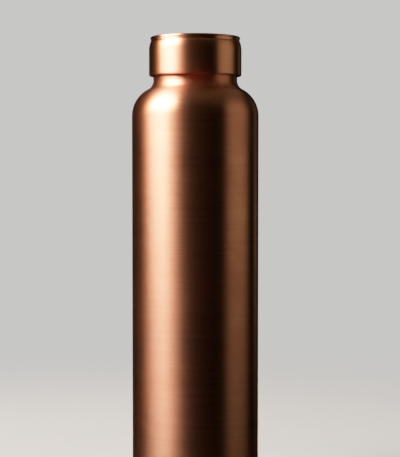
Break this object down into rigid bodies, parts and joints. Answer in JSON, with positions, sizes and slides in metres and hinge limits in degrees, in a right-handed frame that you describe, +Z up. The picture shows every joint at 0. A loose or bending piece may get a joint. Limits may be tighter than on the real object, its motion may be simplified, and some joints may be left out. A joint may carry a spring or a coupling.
{
  "type": "copper water bottle",
  "caption": "Tall cylindrical copper water bottle with a rounded shoulder, short neck and a screw cap that turns off.",
  "frame": {"origin": "centre of the foot ring, on the surface the bottle stands on", "axes": "+Z up along the bottle's axis, from the foot to the cap; X and Y are free, as the bottle is round"},
  "size_m": [0.072, 0.072, 0.27],
  "materials": {
    "body_copper": "satin copper, brushed round the body",
    "base_copper": "satin copper, spun",
    "cap_copper": "satin copper, brushed round the cap",
    "collar_copper": "bright copper",
    "solder": "dull braze metal",
    "silicone": "matt translucent silicone"
  },
  "bodies": {
    "bottle": {"bottle_shell": "body_copper", "base_plate": "base_copper", "base_solder_ring": "solder", "neck_collar": "collar_copper", "neck_solder_ring": "solder"},
    "seal": {"seal_ring": "silicone"},
    "cap": {"cap_shell": "cap_copper", "cap_crown": "cap_copper", "cap_thread_liner": "collar_copper"}
  },
  "joints": [
    {"name": "cap_rise", "type": "slide", "parent": "bottle", "child": "seal", "axis": [0, 0, 1], "range_m": [0, 0.024]},
    {"name": "cap_turn", "type": "hinge", "parent": "seal", "child": "cap", "pos_m": [0, 0, 0.2582], "axis": [0, 0, 1], "range_deg": [0, 2160]}
  ],
  "couplings": [
    {"joint": "cap_rise", "follows": "cap_turn", "m_per_rad": 0.00063662}
  ]
}
